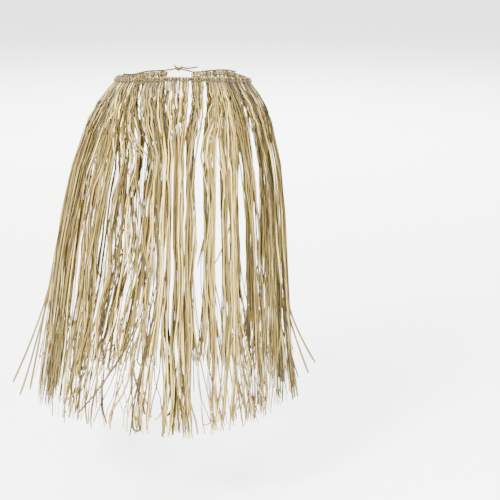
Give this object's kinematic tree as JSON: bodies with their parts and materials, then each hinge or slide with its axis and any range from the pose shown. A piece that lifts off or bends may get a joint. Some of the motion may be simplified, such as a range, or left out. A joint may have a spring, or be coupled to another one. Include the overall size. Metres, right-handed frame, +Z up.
{
  "type": "grass skirt",
  "caption": "Raffia grass skirt, filled out as worn: hanks of long loose strands folded over a plaited waist cord, with ties knotted at the back.",
  "frame": {"origin": "middle of the waist opening, level with the waist cord at the front", "axes": "+Z up, towards the wearer's head; the front faces -Y; +X is on the wearer's left"},
  "size_m": [0.7232, 0.4385, 0.8034],
  "materials": {
    "raffia": "dry raffia, satin along the fibre",
    "plait": "plaited raffia, matte",
    "twine": "twisted fibre, matte",
    "tie": "twisted raffia, matte"
  },
  "bodies": {
    "root": {"back_rope_left": "tie", "back_rope_right": "tie", "hank_01": "raffia", "hank_02": "raffia", "hank_03": "raffia", "hank_04": "raffia", "hank_05": "raffia", "hank_06": "raffia", "hank_07": "raffia", "hank_08": "raffia", "hank_09": "raffia", "hank_10": "raffia", "hank_11": "raffia", "hank_12": "raffia", "hank_13": "raffia", "hank_14": "raffia", "hank_15": "raffia", "hank_16": "raffia", "hank_17": "raffia", "hank_18": "raffia", "hank_19": "raffia", "hank_20": "raffia", "hank_21": "raffia", "hank_22": "raffia", "hank_23": "raffia", "hank_24": "raffia", "hank_25": "raffia", "hank_26": "raffia", "hank_27": "raffia", "hank_28": "raffia", "hank_29": "raffia", "hank_30": "raffia", "hank_31": "raffia", "hank_32": "raffia", "hank_33": "raffia", "hank_34": "raffia", "tie_knot": "tie", "tie_left": "tie", "tie_left_end": "tie", "tie_right": "tie", "tie_right_end": "tie", "twine_inner": "twine", "twine_outer": "twine", "waist_cord": "plait"}
  },
  "joints": []
}
